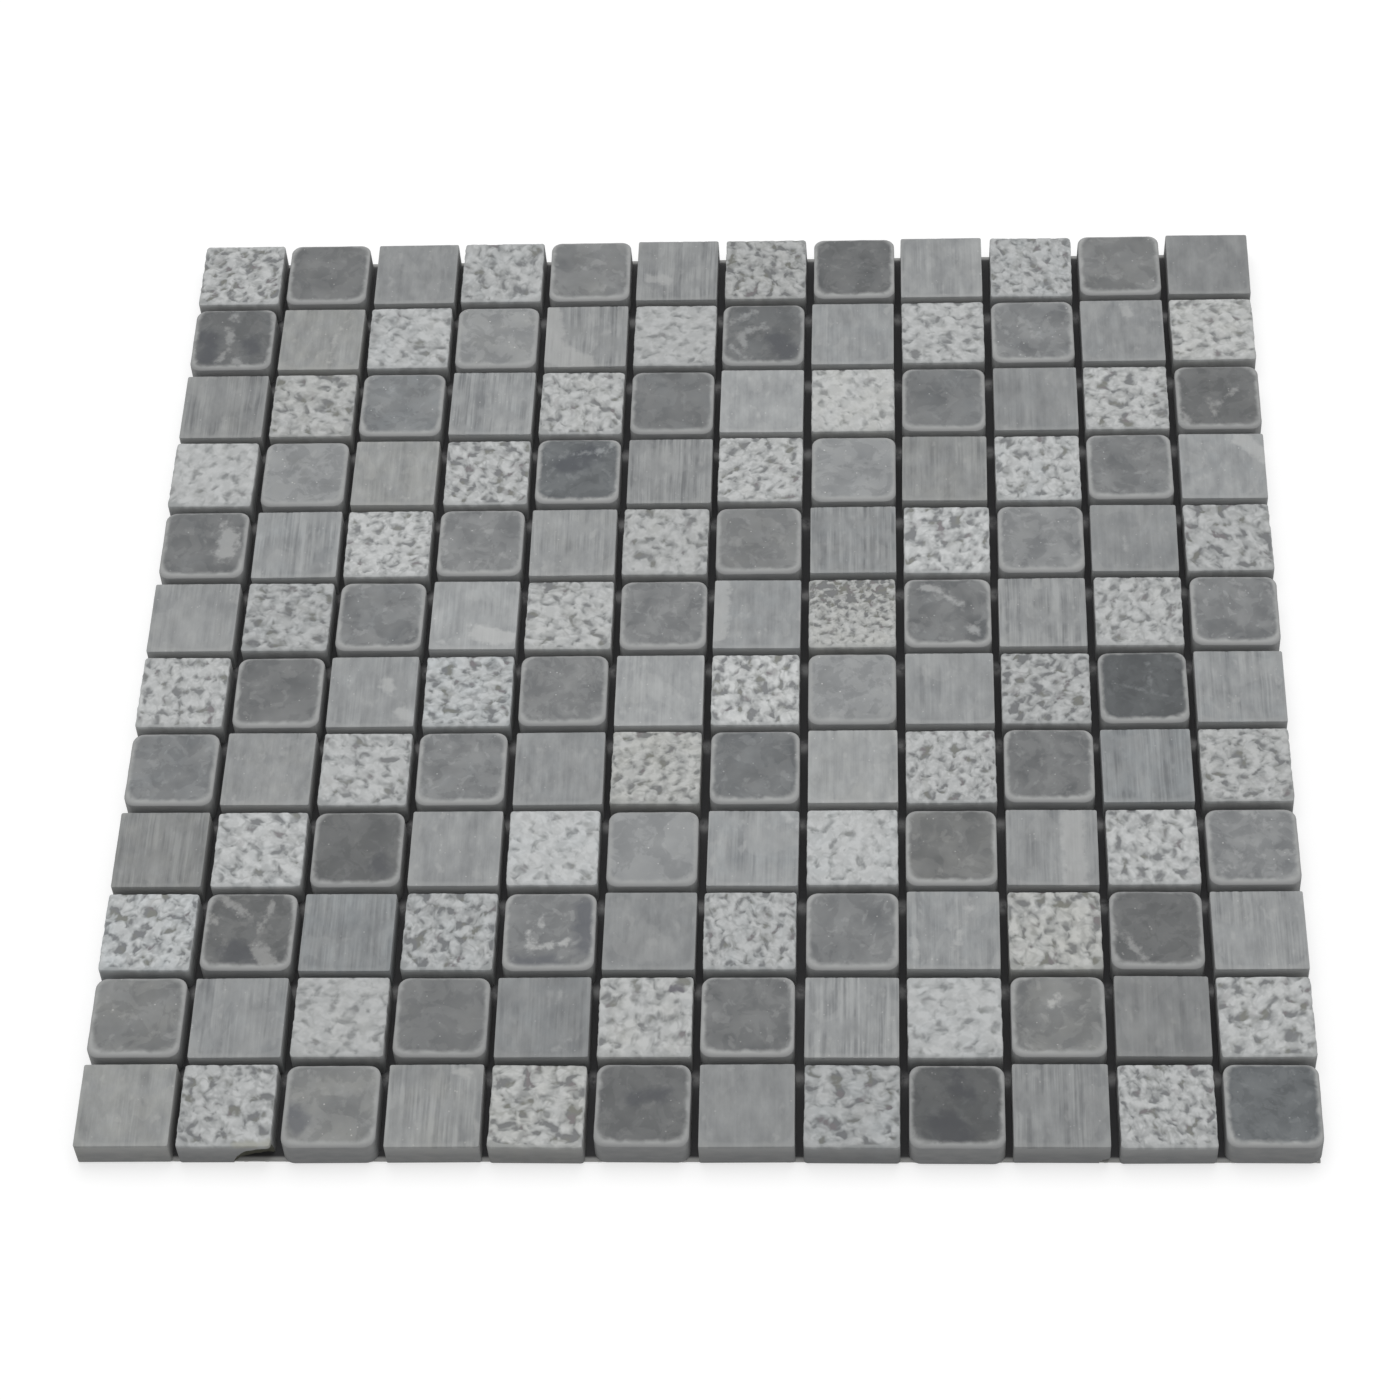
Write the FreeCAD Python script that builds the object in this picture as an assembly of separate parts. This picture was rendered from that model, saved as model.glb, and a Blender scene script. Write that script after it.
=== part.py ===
"""Stone mosaic tile sheet: twelve rows of twelve small square chips, bonded to a thread net.

Millimetres. The sheet lies face up on its net, with z = 0 under the net and the middle of its
outline on the Z axis. X runs to the right along the front edge, and Y runs to the back. Row 1 is
the back row and column 1 the left one. Three finishes of one grey stone follow each other along
every row, and each row starts one finish further on, so that like chips meet at their corners.
"""

import FreeCAD
import Part
import math
import os
import random
from FreeCAD import Matrix, Placement, Rotation, Vector

# The layout
ROWS = 12
COLUMNS = 12
FINISHES = ("bush_hammered", "tumbled", "brushed")

# The chips, sawn from one slab
CHIP_SIDE = 23.0
CHIP_THICKNESS = 7.4
JOINT_WIDTH = 2.0

# A tumbled chip: its upright corners and its top arris are worn round. The rim of the top face
# falls away over a width that is more than its drop. Both curves are made of a few flats
TUMBLED_CORNER_RADIUS = 3.0
TUMBLED_CORNER_FLATS = 4
TUMBLED_RIM_WIDTH = 1.5
TUMBLED_RIM_DROP = 0.45
TUMBLED_RIM_FLATS = 2

# A bush-hammered chip: the blows spall its corners and its top arris
HAMMERED_CORNER_CUT = 0.9
HAMMERED_ARRIS_CUT = 0.45

# A brushed chip: as sawn, with its sharp edges only just broken
BRUSHED_CORNER_CUT = 0.5
BRUSHED_ARRIS_CUT = 0.25

# Chips that lost the lower right corner of their front face, by row and column, with how far the
# break reaches along the front, towards the back and up from that corner
BROKEN_CORNERS = {(12, 2): (9.5, 3.0, 6.3), (12, 10): (2.6, 2.0, 2.0)}

# How far a hand-laid chip lies from its place, each way, and how far it is turned
LAY_ERROR = 0.2
LAY_TURN_DEG = 0.45

# The backing: an adhesive coat across the undersides of the chips, and under it a net of two
# layers of flat threads that are bonded where they cross. The spacing is the nearest that divides
# the net evenly
ADHESIVE_THICKNESS = 0.3
THREAD_THICKNESS = 0.15
THREAD_WIDTH = 0.9
THREAD_SPACING = 5.0
BACKING_INSET = 0.5

# Worked out from the sizes above
PITCH = CHIP_SIDE + JOINT_WIDTH
SHEET_LENGTH = COLUMNS * PITCH - JOINT_WIDTH
SHEET_DEPTH = ROWS * PITCH - JOINT_WIDTH
BACKING_LENGTH = SHEET_LENGTH - 2 * BACKING_INSET
BACKING_DEPTH = SHEET_DEPTH - 2 * BACKING_INSET
WARP_BASE = 0.0
WEFT_BASE = WARP_BASE + THREAD_THICKNESS
ADHESIVE_BASE = WEFT_BASE + THREAD_THICKNESS
CHIP_BASE = ADHESIVE_BASE + ADHESIVE_THICKNESS


def centred_box(length, depth, height):
    """A box that stands on z = 0 with its middle on the Z axis."""
    return Part.makeBox(length, depth, height, Vector(-length / 2, -depth / 2, 0))


def upright_edges(block):
    """The edges of a plain block that run from its base to its top."""
    return [edge for edge in block.Edges if edge.BoundBox.ZLength > CHIP_THICKNESS / 2]


def top_edges(block):
    """The edges round the top face of a plain block."""
    return [edge for edge in block.Edges if edge.BoundBox.ZMin > CHIP_THICKNESS / 2]


def worn_outline(inset, height):
    """The tumbled chip's outline at a height, drawn in by an inset, so that corners lose most."""
    scale = 1 - 2 * inset / CHIP_SIDE
    straight = CHIP_SIDE / 2 - TUMBLED_CORNER_RADIUS
    points = []
    for quarter in range(4):
        turn = Rotation(Vector(0, 0, 1), 90 * quarter)
        for flat in range(TUMBLED_CORNER_FLATS + 1):
            angle = math.radians(90 * flat / TUMBLED_CORNER_FLATS)
            x = straight + TUMBLED_CORNER_RADIUS * math.cos(angle)
            y = straight + TUMBLED_CORNER_RADIUS * math.sin(angle)
            points.append(turn.multVec(Vector(scale * x, scale * y, height)))
    return Part.makePolygon(points + points[:1])


def tumbled_chip():
    """Upright sides to the foot of the worn rim, then in along a quarter of an ellipse."""
    outlines = [worn_outline(0, 0)]
    for flat in range(TUMBLED_RIM_FLATS + 1):
        angle = math.radians(90 * flat / TUMBLED_RIM_FLATS)
        inset = TUMBLED_RIM_WIDTH * (1 - math.cos(angle))
        drop = TUMBLED_RIM_DROP * (1 - math.sin(angle))
        outlines.append(worn_outline(inset, CHIP_THICKNESS - drop))
    return Part.makeLoft(outlines, True, True)


def edged_chip(corner_cut, arris_cut):
    """A sawn block with flat cuts on its upright corners and round its top face."""
    block = centred_box(CHIP_SIDE, CHIP_SIDE, CHIP_THICKNESS)
    block = block.makeChamfer(corner_cut, upright_edges(block))
    return block.makeChamfer(arris_cut, top_edges(block))


def make_chip(finish):
    """One whole chip, standing on z = 0 with its middle on the Z axis."""
    if finish == "tumbled":
        return tumbled_chip()
    if finish == "bush_hammered":
        return edged_chip(HAMMERED_CORNER_CUT, HAMMERED_ARRIS_CUT)
    return edged_chip(BRUSHED_CORNER_CUT, BRUSHED_ARRIS_CUT)


def break_corner(chip, reach):
    """Takes a scoop out of the lower right corner of the front face, under a whole top edge."""
    stretch = Matrix()
    stretch.scale(*reach)
    scoop = Part.makeSphere(1).transformGeometry(stretch)
    return chip.cut(scoop.translated(Vector(CHIP_SIDE / 2, -CHIP_SIDE / 2, 0)))


def finish_at(row, column):
    """The finish of the chip at a place, counting rows and columns from 1."""
    return FINISHES[(row + column - 2) % len(FINISHES)]


def chip_placement(row, column):
    """Where a chip lies: its place on the grid, with the small errors of laying by hand."""
    hand = random.Random(row * COLUMNS + column)
    x = (column - (COLUMNS + 1) / 2) * PITCH + hand.uniform(-LAY_ERROR, LAY_ERROR)
    y = ((ROWS + 1) / 2 - row) * PITCH + hand.uniform(-LAY_ERROR, LAY_ERROR)
    turn = hand.uniform(-LAY_TURN_DEG, LAY_TURN_DEG)
    return Placement(Vector(x, y, CHIP_BASE), Rotation(Vector(0, 0, 1), turn))


def lay_chips():
    """Every chip of the sheet, by row and column."""
    patterns = {finish: make_chip(finish) for finish in FINISHES}
    chips = {}
    for row in range(1, ROWS + 1):
        for column in range(1, COLUMNS + 1):
            chip = patterns[finish_at(row, column)].copy()
            if (row, column) in BROKEN_CORNERS:
                chip = break_corner(chip, BROKEN_CORNERS[row, column])
            chip.Placement = chip_placement(row, column)
            chips[row, column] = chip
    return chips


def centre_outline(chips):
    """Moves the laid chips together, so that the middle of their outline is on the Z axis."""
    outline = Part.makeCompound(list(chips.values())).optimalBoundingBox(False, False)
    for chip in chips.values():
        chip.translate(Vector(-outline.Center.x, -outline.Center.y, 0))


def thread_places(width):
    """Where the threads of one layer lie: flush with both edges, and evenly in between."""
    span = width - THREAD_WIDTH
    gaps = round(span / THREAD_SPACING)
    return [span * (index / gaps - 0.5) for index in range(gaps + 1)]


def warp_threads():
    """The lower threads of the net, which run from front to back."""
    thread = centred_box(THREAD_WIDTH, BACKING_DEPTH, THREAD_THICKNESS)
    return [thread.translated(Vector(x, 0, WARP_BASE)) for x in thread_places(BACKING_LENGTH)]


def weft_threads():
    """The upper threads of the net, which run from left to right across the lower ones."""
    thread = centred_box(BACKING_LENGTH, THREAD_WIDTH, THREAD_THICKNESS)
    return [thread.translated(Vector(0, y, WEFT_BASE)) for y in thread_places(BACKING_DEPTH)]


def adhesive_coat():
    """The coat that holds the chips to the net and closes the joints from below."""
    coat = centred_box(BACKING_LENGTH, BACKING_DEPTH, ADHESIVE_THICKNESS)
    return coat.translated(Vector(0, 0, ADHESIVE_BASE))


def write_piece(name, solids):
    """Writes like pieces that don't touch as one named sub-part."""
    Part.makeCompound(solids).exportStep(f"parts/{name}.step")
    print(f"{name}: {len(solids)} solids, {sum(solid.Volume for solid in solids):.1f} mm3")


def main():
    os.makedirs("parts", exist_ok=True)
    chips = lay_chips()
    centre_outline(chips)
    for row in range(1, ROWS + 1):
        for finish in FINISHES:
            columns = [column for column in range(1, COLUMNS + 1) if finish_at(row, column) == finish]
            write_piece(f"{finish}_chips_row_{row:02d}", [chips[row, column] for column in columns])
    write_piece("mesh_warp_threads", warp_threads())
    write_piece("mesh_weft_threads", weft_threads())
    write_piece("adhesive_coat", [adhesive_coat()])


main()
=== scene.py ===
# %% [markdown]
# # A stone mosaic sheet
# The sheet is 144 small square chips of grey stone on a net, in twelve rows of twelve. Three
# finishes take turns: bush-hammered, tumbled and brushed. Loose chips could be scattered on a
# grid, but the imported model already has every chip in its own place. So the lesson starts from
# it, and gives every chip its face: the hammer's pits, the worn rim, the brush's strokes.

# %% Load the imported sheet
import math
import random

import bmesh
import bpy
import numpy as np
from mathutils import Matrix, Vector


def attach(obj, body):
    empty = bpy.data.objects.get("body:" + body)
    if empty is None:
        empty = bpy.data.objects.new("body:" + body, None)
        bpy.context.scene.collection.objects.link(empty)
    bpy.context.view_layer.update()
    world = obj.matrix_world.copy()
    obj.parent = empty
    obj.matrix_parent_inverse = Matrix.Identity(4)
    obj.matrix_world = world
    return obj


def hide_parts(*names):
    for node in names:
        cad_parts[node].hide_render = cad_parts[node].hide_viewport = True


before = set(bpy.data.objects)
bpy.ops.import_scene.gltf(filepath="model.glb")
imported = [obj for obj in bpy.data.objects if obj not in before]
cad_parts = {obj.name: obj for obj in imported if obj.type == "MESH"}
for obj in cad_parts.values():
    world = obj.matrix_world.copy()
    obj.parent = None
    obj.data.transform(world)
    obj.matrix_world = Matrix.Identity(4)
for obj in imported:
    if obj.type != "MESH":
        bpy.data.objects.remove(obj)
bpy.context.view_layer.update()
MM = 0.001

# %% [markdown]
# ## The camera
# The sheet was photographed from above its front edge, a little to the right of its middle, with
# a long lens. A camera could be turned by eye until the picture fits. But straight joints show the
# perspective well, so its place and turn were worked out from them.

# %% Set up the camera
CAMERA_PLACE = (0.047606, -0.582331, 0.756751)
CAMERA_TURN_DEG = (37.1304, 2.5935, 1.5772)
CAMERA_LENS = 93.25

bpy.ops.object.camera_add(
    location=CAMERA_PLACE, rotation=[math.radians(turn) for turn in CAMERA_TURN_DEG]
)
camera = bpy.context.object
camera.name = "photo_camera"
camera.data.lens = CAMERA_LENS
camera.data.sensor_width = 36
bpy.context.scene.camera = camera
bpy.context.scene.view_settings.view_transform = "Standard"
print("camera distance in mm:", round(camera.location.length / MM))

# %% [markdown]
# ## Node trees written as sums
# Stone needs patterns, and a pattern in Blender is a tree of nodes. Added by hand, each node is a
# click, and in code it would be many lines. Here one class stands for a socket, so that a mask can
# be written as a sum, and one method adds any other node. Materials and relief are built alike, so
# a pattern that is written once can both sink the stone and darken it.

# %% Write node trees as sums
class Wire:
    """A socket's value on its way through a node tree. Its operators add Math nodes."""

    def __init__(self, recipe, socket):
        self.recipe = recipe
        self.socket = socket

    def __add__(self, other):
        return self.recipe.math("ADD", self, other)

    def __sub__(self, other):
        return self.recipe.math("SUBTRACT", self, other)

    def __rsub__(self, other):
        return self.recipe.math("SUBTRACT", other, self)

    def __mul__(self, other):
        return self.recipe.math("MULTIPLY", self, other)

    __radd__ = __add__
    __rmul__ = __mul__


class Recipe:
    """A node tree under construction."""

    def __init__(self, tree):
        self.tree = tree
        tree.nodes.clear()

    def node(self, kind, settings=None, inputs=None, output=0):
        """Adds a node: its settings first, then the values or links of its sockets."""
        made = self.tree.nodes.new(kind)
        for name, value in (settings or {}).items():
            setattr(made, name, value)
        for name, value in (inputs or {}).items():
            if isinstance(value, Wire):
                self.tree.links.new(value.socket, made.inputs[name])
            else:
                made.inputs[name].default_value = value
        return Wire(self, made.outputs[output])

    def math(self, operation, *values):
        return self.node("ShaderNodeMath", {"operation": operation}, dict(enumerate(values)))

    def larger(self, first, second):
        return self.math("MAXIMUM", first, second)

    def vector(self, operation, *values):
        """Works on places or colours, all three numbers of each at once."""
        return self.node("ShaderNodeVectorMath", {"operation": operation}, dict(enumerate(values)))

    def scaled(self, value, share):
        """A place drawn nearer to the middle, or a colour made darker, by one number."""
        return self.node("ShaderNodeVectorMath", {"operation": "SCALE"}, {0: value, "Scale": share})

    def axis(self, place, index):
        """One number of a place: 0 is across the sheet, 1 is along it and 2 is up."""
        return self.node("ShaderNodeSeparateXYZ", {}, {0: place}, output=index)

    def height(self, place):
        """How high a place is, in millimetres above the floor."""
        return self.axis(place, 2) * (1 / MM)

    def ramp(self, value, low, high):
        """0 below low and 1 above high, with a smooth rise between."""
        bounds = {"Value": value, "From Min": low, "From Max": high}
        return self.node("ShaderNodeMapRange", {"interpolation_type": "SMOOTHSTEP"}, bounds)

    def noise(self, place, grain, detail=2.0, roughness=0.5, distortion=0.0):
        """Soft random blobs about as wide as the grain, which is in the place's own units."""
        sizes = {"Scale": 1 / grain, "Detail": detail, "Roughness": roughness, "Distortion": distortion}
        return self.node("ShaderNodeTexNoise", {}, {"Vector": place, **sizes})

    def stretched(self, place, stretch, shift=(0, 0, 0)):
        """A place whose axes are scaled, so that a pattern on it is drawn out along one of them."""
        return self.vector("MULTIPLY_ADD", place, [1 / length for length in stretch], shift)

    def ruffled(self, place, grain, reach):
        """A place that is pushed about at random, so that a regular pattern on it turns ragged."""
        push = self.node("ShaderNodeTexNoise", {}, {"Vector": place, "Scale": 1 / grain, "Detail": 2.0}, 1)
        return self.vector("ADD", place, self.scaled(self.vector("SUBTRACT", push, (0.5, 0.5, 0.5)), reach))


print("node trees can now be written as sums")

# %% [markdown]
# ## What a finish is made of
# A stone's finish shows in its colour, its shine and its smallest bumps. It could be a picture
# stretched over the chip, but 144 chips would then look alike. A finish made of nodes can ask each
# chip for its own numbers, so the class below hands it places, numbers and colours.

# %% Add what a material needs
class Finish(Recipe):
    """A material under construction. Its places are in metres and its slab in millimetres."""

    def __init__(self, name):
        self.material = bpy.data.materials.new(name)
        self.material.use_nodes = True
        super().__init__(self.material.node_tree)

    def place(self):
        return self.node("ShaderNodeTexCoord", {}, {}, output="Object")

    def slab(self):
        return self.node("ShaderNodeUVMap", {"uv_map": "slab"}, {})

    def trait(self, name):
        """A number that the chip's mesh holds under a name."""
        return self.node("ShaderNodeAttribute", {"attribute_name": name}, {}, output="Fac")

    def blend(self, share, first, second):
        """The first colour where share is 0 and the second where it is 1."""
        colours = {0: share, 6: first, 7: second}
        return self.node("ShaderNodeMix", {"data_type": "RGBA"}, colours, output=2)

    def end(self, surface):
        """Ends the tree in a surface."""
        output = self.tree.nodes.new("ShaderNodeOutputMaterial")
        self.tree.links.new(surface.socket, output.inputs["Surface"])
        return self.material

    def close(self, colour, roughness, grain, depth):
        """Ends the tree in stone, glue or fibre, with fine bumps that deep in millimetres."""
        bumps = self.node("ShaderNodeBump", {}, {"Height": grain, "Strength": 1.0, "Distance": depth * MM})
        sockets = {"Base Color": colour, "Roughness": roughness, "Normal": bumps}
        return self.end(self.node("ShaderNodeBsdfPrincipled", {}, sockets))


print("materials can now be written as recipes")

# %% [markdown]
# ## The floor
# The photograph has a white ground. Enough light would make a plain floor white, but would bleach
# the stone as well. So the floor is grey and throws back little light, and only what the camera
# sees of it glows. It keeps the soft shadow of the sheet.

# %% Lay the floor
FLOOR_SIZE = 6.0
FLOOR_DROP = 0.02 * MM
FLOOR_COLOUR = (0.46, 0.46, 0.46, 1)
FLOOR_LIFT = 0.585

bpy.ops.object.select_all(action="DESELECT")
bpy.ops.mesh.primitive_plane_add(size=FLOOR_SIZE, location=(0, 0, -FLOOR_DROP))
floor = bpy.context.object
floor.name = "studio_floor"


def seen_directly(recipe):
    """1 for rays from the camera, or that gloss or glass sends on, and else 0."""
    path = recipe.tree.nodes.new("ShaderNodeLightPath")
    kinds = ("Is Camera Ray", "Is Glossy Ray", "Is Transmission Ray")
    camera_ray, gloss_ray, glass_ray = (Wire(recipe, path.outputs[kind]) for kind in kinds)
    return recipe.larger(recipe.larger(camera_ray, gloss_ray), glass_ray)


def floor_finish():
    recipe = Finish("studio_floor")
    paper = recipe.node("ShaderNodeBsdfDiffuse", {}, {"Color": FLOOR_COLOUR})
    glow = recipe.node("ShaderNodeEmission", {}, {"Color": (1, 1, 1, 1), "Strength": FLOOR_LIFT})
    white = recipe.node("ShaderNodeAddShader", {}, {0: paper, 1: glow})
    sockets = {0: seen_directly(recipe), 1: paper, 2: white}
    return recipe.end(recipe.node("ShaderNodeMixShader", {}, sockets))


floor.data.materials.append(floor_finish())
print("the floor is", FLOOR_SIZE, "m wide")

# %% [markdown]
# ## The light
# The light in the photograph is very soft. The tops are evenly lit and the sawn fronts are darker,
# so more of it comes from above and behind than from the camera's side. Several lamps could do
# that. A pale world gives most of it here, and one wide lamp above and behind gives the rest.

# %% Hang the lamp and set the world
SKY_STRENGTH = 0.70
LAMP_SIZE = 1.8
LAMP_PLACE = Vector((0, 0.7, 2.2))
LAMP_POWER = 21.0

lamp_turn = LAMP_PLACE.to_track_quat("Z", "Y").to_euler()
bpy.ops.object.light_add(type="AREA", location=LAMP_PLACE, rotation=lamp_turn)
lamp = bpy.context.object
lamp.name = "soft_lamp"
lamp.data.shape = "SQUARE"
lamp.data.size = LAMP_SIZE
lamp.data.energy = LAMP_POWER

world = bpy.data.worlds.new("studio")
world.use_nodes = True
bpy.context.scene.world = world
sky = Recipe(world.node_tree)
dim = sky.node("ShaderNodeBackground", {}, {"Color": (1, 1, 1, 1), "Strength": SKY_STRENGTH})
white = sky.node("ShaderNodeBackground", {}, {"Color": (1, 1, 1, 1), "Strength": 1.0})
either = sky.node("ShaderNodeMixShader", {}, {0: seen_directly(sky), 1: dim, 2: white})
end = sky.tree.nodes.new("ShaderNodeOutputWorld")
sky.tree.links.new(either.socket, end.inputs["Surface"])
print("the lamp is", LAMP_SIZE, "m wide and", round(LAMP_PLACE.length, 2), "m away")

# %% [markdown]
# ## Where the chips lie
# Every chip was laid by hand, so none is quite on the grid. New chances could be drawn here, but
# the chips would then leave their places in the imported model. So a chip's middle is read from its
# outline there, and its turn from the face that was sawn along its front.

# %% Read every chip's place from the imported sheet
PITCH = 25 * MM
CHIP_SIDE = 23 * MM
CHIP_BASE = 0.6 * MM
CHIP_TOP = 8.0 * MM
ROWS = 12
COLUMNS = 12
FINISHES = ("bush_hammered", "tumbled", "brushed")


def read_chips(node):
    """Where a node's chips are: column, middle and turn."""
    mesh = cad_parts[node].data
    columns = {}
    for face in mesh.polygons:
        column = math.floor(face.center.x / PITCH + COLUMNS / 2) + 1
        columns.setdefault(column, []).append(face)
    chips = []
    for column, faces in sorted(columns.items()):
        points = [mesh.vertices[index].co for face in faces for index in face.vertices]
        across = [point.x for point in points]
        along = [point.y for point in points]
        middle = Vector(((min(across) + max(across)) / 2, (min(along) + max(along)) / 2, 0))
        front = [face for face in faces if face.normal.y < -0.99 and abs(face.normal.z) < 0.001]
        facing = sum((face.normal * face.area for face in front), Vector())
        chips.append({"column": column, "middle": middle, "turn": math.atan2(facing.x, -facing.y)})
    return chips


laid = {}
for finish in FINISHES:
    for row in range(1, ROWS + 1):
        laid[finish, row] = read_chips(f"{finish}_chips_row_{row:02d}")
turns = [math.degrees(chip["turn"]) for chips in laid.values() for chip in chips]
print(len(turns), "chips, turned from", round(min(turns), 2), "to", round(max(turns), 2), "degrees")

# %% [markdown]
# ## Sawing a block
# A real chip is sawn from a slab and then loses its sharp corners. A sculpt could give that shape,
# but a block with bevelled corners is exact. Parts of the block are picked in code, by their place
# or by the way that they face.

# %% Saw a block and round its corners
def pick(piece, kind, wanted):
    """Selects those corners, edges or faces of the piece in edit mode that are wanted."""
    bpy.ops.mesh.select_mode(type=kind)
    bpy.ops.mesh.select_all(action="DESELECT")
    shape = bmesh.from_edit_mesh(piece.data)
    for item in {"VERT": shape.verts, "EDGE": shape.edges, "FACE": shape.faces}[kind]:
        if wanted(item):
            item.select_set(True)
    shape.select_flush_mode()
    bmesh.update_edit_mesh(piece.data)


def saw_block(name, rim_drop):
    """A block that is as high as the foot of the chip's rim."""
    bpy.ops.object.select_all(action="DESELECT")
    high = CHIP_TOP - rim_drop - CHIP_BASE
    bpy.ops.mesh.primitive_cube_add(size=1, location=(0, 0, CHIP_BASE + high / 2))
    block = bpy.context.object
    block.name = name
    block.scale = (CHIP_SIDE, CHIP_SIDE, high)
    bpy.ops.object.transform_apply(location=True, rotation=True, scale=True)
    return block


def is_upright(edge):
    """An edge of a plain block that runs from its foot to its top."""
    low, high = sorted(corner.co.z for corner in edge.verts)
    return high - low > (CHIP_TOP - CHIP_BASE) / 2


def round_corners(block, radius, steps):
    """Bevels the block's upright corners, and leaves it in edit mode."""
    bpy.ops.object.mode_set(mode="EDIT")
    pick(block, "EDGE", is_upright)
    bpy.ops.mesh.bevel(offset=radius, segments=steps, profile=0.5)


print("a block is", round(CHIP_SIDE / MM), "mm wide")

# %% [markdown]
# ## Wearing the edge round the top
# The edge round a chip's top is spalled by the hammer, worn to a soft rim by tumbling, or only
# just broken. A bevel would be as deep as it is wide. The top face is inset and raised in steps
# instead, for a wide and shallow rim. The block is then cut in strips, as a relief needs points.

# %% Raise the rim and cut the strips
def raise_rim(block, width, drop, steps):
    """Insets the top face in steps, each higher than the last, along a quarter of an ellipse."""
    pick(block, "FACE", lambda face: face.normal.z > 0.9)
    inset, fallen = 0.0, drop
    for step in range(1, steps + 1):
        angle = math.radians(90 * step / steps)
        next_inset = width * (1 - math.cos(angle))
        next_fallen = drop * (1 - math.sin(angle))
        bpy.ops.mesh.inset(thickness=next_inset - inset, depth=fallen - next_fallen)
        inset, fallen = next_inset, next_fallen


def cut_strips(block, spacing, across):
    """Cuts all but the underside in strips of even width, with cuts that run one way."""
    strips = round(CHIP_SIDE / spacing)
    for cut in range(1, strips):
        at = CHIP_SIDE * (cut / strips - 0.5)
        pick(block, "FACE", lambda face: face.normal.z > -0.5)
        facing = Vector((1, 0, 0)) if across else Vector((0, 1, 0))
        bpy.ops.mesh.bisect(plane_co=facing * at, plane_no=facing)


def make_pattern(name, corner, rim, strips):
    """One edged block. Corner is radius and steps, rim is width, drop and steps, strips are widths."""
    rim_width, rim_drop, rim_steps = rim
    block = saw_block(name, rim_drop)
    round_corners(block, *corner)
    raise_rim(block, rim_width, rim_drop, rim_steps)
    cut_strips(block, strips[0], across=True)
    cut_strips(block, strips[1], across=False)
    bpy.ops.object.mode_set(mode="OBJECT")
    bpy.ops.object.shade_smooth_by_angle(angle=math.radians(40))
    print(name, "has", len(block.data.polygons), "faces")
    return block


# %% [markdown]
# ## One chip of each finish
# The sheet has 144 chips of only three kinds, so each kind is modelled once and copied later. The
# hammer leaves small blows all over, so its chip is cut finely both ways. The brush leaves long
# strokes from front to back, so fine cuts one way are enough. The tumbled chip has the soft rim.

# %% Make one chip of each finish
HAMMERED_STRIPS = (0.35 * MM, 0.35 * MM)
TUMBLED_STRIPS = (0.8 * MM, 0.8 * MM)
BRUSHED_STRIPS = (0.33 * MM, 2.5 * MM)

patterns = {
    "bush_hammered": make_pattern(
        "hammered_pattern", corner=(0.9 * MM, 3), rim=(0.45 * MM, 0.45 * MM, 2), strips=HAMMERED_STRIPS
    ),
    "tumbled": make_pattern(
        "tumbled_pattern", corner=(3.0 * MM, 7), rim=(1.5 * MM, 0.45 * MM, 6), strips=TUMBLED_STRIPS
    ),
    "brushed": make_pattern(
        "brushed_pattern", corner=(0.5 * MM, 2), rim=(0.25 * MM, 0.25 * MM, 2), strips=BRUSHED_STRIPS
    ),
}

# %% [markdown]
# ## What each point of a chip knows
# The worn rim of a real chip follows its outline. A material could find the edge with a bevel
# node, but that is slow and is lost in other programs. So the gap to the edge is measured once on
# each pattern and kept as an attribute, in millimetres.

# %% Measure the gap to the edge
# Painted light: the outline is measured this far back, in millimetres, so that the pale rims lie wider at
# the front, where they catch more light, and thinner at the back.
RIM_LIGHT_SHIFT = 0.75
HALF_SIDE = CHIP_SIDE / MM / 2
CORNER_POWER = 7


def point_array(mesh):
    """Every point of a mesh, one row each, in millimetres."""
    values = np.zeros(len(mesh.vertices) * 3)
    mesh.vertices.foreach_get("co", values)
    return values.reshape(-1, 3) / MM


def add_trait(mesh, name, values, domain="POINT"):
    """Keeps one number for every point of a mesh, or for every face."""
    trait = mesh.attributes.get(name) or mesh.attributes.new(name, "FLOAT", domain)
    trait.data.foreach_set("value", np.full(len(trait.data), values, np.float32))


def rim_gap(points):
    """The distance from a chip's outline, by lines that round its corners, less at the front, so that rims
    painted from it lie wider at the front: painted light.
    """
    across = np.abs(points[:, :2] + (0, -RIM_LIGHT_SHIFT))
    return HALF_SIDE - (across ** CORNER_POWER).sum(1) ** (1 / CORNER_POWER)


def corner_share(points):
    """How near each point is to an upright corner: its place along the side that it is on."""
    return np.abs(points[:, :2]).min(1)


def measure_edges(mesh):
    """Writes how far each point of a chip is from its outline and its corners."""
    points = point_array(mesh)
    add_trait(mesh, "rim_gap", rim_gap(points))
    add_trait(mesh, "corner", corner_share(points))


for pattern in patterns.values():
    measure_edges(pattern.data)
    add_trait(pattern.data, "broken", 0.0, "FACE")
print("the middle of a chip is", round(rim_gap(np.zeros((1, 3)))[0], 2), "mm from its edge")

# %% [markdown]
# ## A map for the finished picture
# Other programs can't read these node trees, so the surface may be baked in a picture later. An
# automatic unwrap would cut each chip in its own way. A chip is a plain box, so its top is laid
# out flat here, with the four sides and the underside around it.

# %% Lay out the bake map
MAP_SIDE = 41.0
FIRST_STRIP = 24.5
SECOND_STRIP = 33.0
UNDERSIDE = 25.0
UNDERSIDE_SCALE = 0.6


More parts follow.
